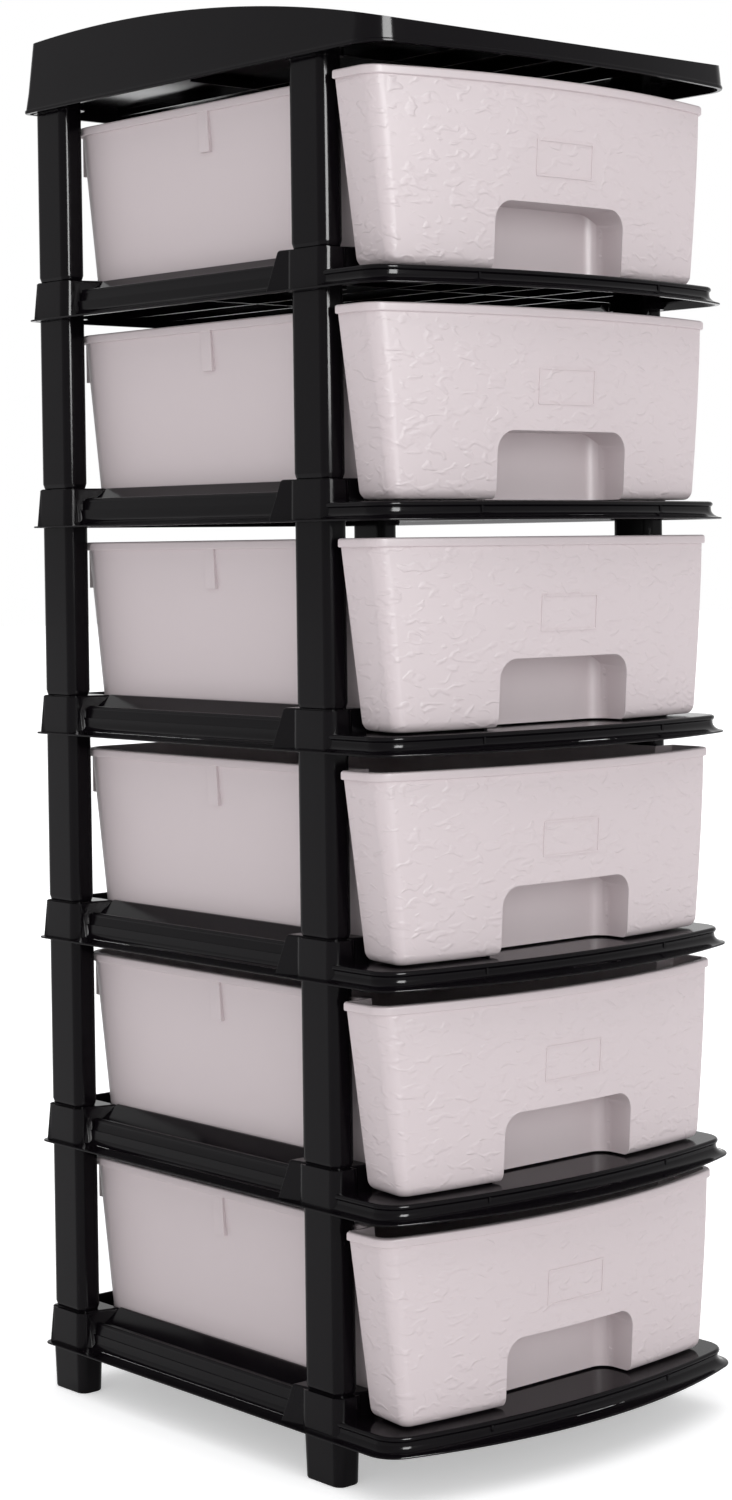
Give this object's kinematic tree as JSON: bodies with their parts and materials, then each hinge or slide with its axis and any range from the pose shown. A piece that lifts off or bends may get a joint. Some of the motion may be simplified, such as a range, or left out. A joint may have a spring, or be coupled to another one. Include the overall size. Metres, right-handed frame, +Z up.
{
  "type": "plastic drawer tower",
  "caption": "Free-standing tower of stacked plastic trays on corner posts, with a pull-out drawer in each tier and a cover with arched sides and a sunken top.",
  "frame": {"origin": "on the floor, under the middle of the tower's width and depth", "axes": "+Z up, -Y towards the drawers' fronts, +X to the right seen from the front"},
  "size_m": [0.3696, 0.455, 1.0831],
  "materials": {
    "frame_plastic": "glossy injection-moulded plastic, near black, softly rounded edges",
    "drawer_plastic": "satin moulded plastic, pale greyish mauve, smooth sides and a finely pebbled front"
  },
  "bodies": {
    "root": {"foot_front_left": "frame_plastic", "foot_front_right": "frame_plastic", "foot_rear_left": "frame_plastic", "foot_rear_right": "frame_plastic", "shelf_tray_1": "frame_plastic", "shelf_tray_2": "frame_plastic", "shelf_tray_3": "frame_plastic", "shelf_tray_4": "frame_plastic", "shelf_tray_5": "frame_plastic", "shelf_tray_6": "frame_plastic", "post_1_front_left": "frame_plastic", "post_1_front_right": "frame_plastic", "post_1_rear_left": "frame_plastic", "post_1_rear_right": "frame_plastic", "post_2_front_left": "frame_plastic", "post_2_front_right": "frame_plastic", "post_2_rear_left": "frame_plastic", "post_2_rear_right": "frame_plastic", "post_3_front_left": "frame_plastic", "post_3_front_right": "frame_plastic", "post_3_rear_left": "frame_plastic", "post_3_rear_right": "frame_plastic", "post_4_front_left": "frame_plastic", "post_4_front_right": "frame_plastic", "post_4_rear_left": "frame_plastic", "post_4_rear_right": "frame_plastic", "post_5_front_left": "frame_plastic", "post_5_front_right": "frame_plastic", "post_5_rear_left": "frame_plastic", "post_5_rear_right": "frame_plastic", "post_6_front_left": "frame_plastic", "post_6_front_right": "frame_plastic", "post_6_rear_left": "frame_plastic", "post_6_rear_right": "frame_plastic", "top_cover": "frame_plastic"},
    "drawer_1": {"drawer_1": "drawer_plastic"},
    "drawer_2": {"drawer_2": "drawer_plastic"},
    "drawer_3": {"drawer_3": "drawer_plastic"},
    "drawer_4": {"drawer_4": "drawer_plastic"},
    "drawer_5": {"drawer_5": "drawer_plastic"},
    "drawer_6": {"drawer_6": "drawer_plastic"}
  },
  "joints": [
    {"name": "drawer_1_slide", "type": "slide", "parent": "root", "child": "drawer_1", "axis": [0, -1, 0], "range_m": [0, 0.24]},
    {"name": "drawer_2_slide", "type": "slide", "parent": "root", "child": "drawer_2", "axis": [0, -1, 0], "range_m": [0, 0.24]},
    {"name": "drawer_3_slide", "type": "slide", "parent": "root", "child": "drawer_3", "axis": [0, -1, 0], "range_m": [0, 0.24]},
    {"name": "drawer_4_slide", "type": "slide", "parent": "root", "child": "drawer_4", "axis": [0, -1, 0], "range_m": [0, 0.24]},
    {"name": "drawer_5_slide", "type": "slide", "parent": "root", "child": "drawer_5", "axis": [0, -1, 0], "range_m": [0, 0.24]},
    {"name": "drawer_6_slide", "type": "slide", "parent": "root", "child": "drawer_6", "axis": [0, -1, 0], "range_m": [0, 0.24]}
  ]
}
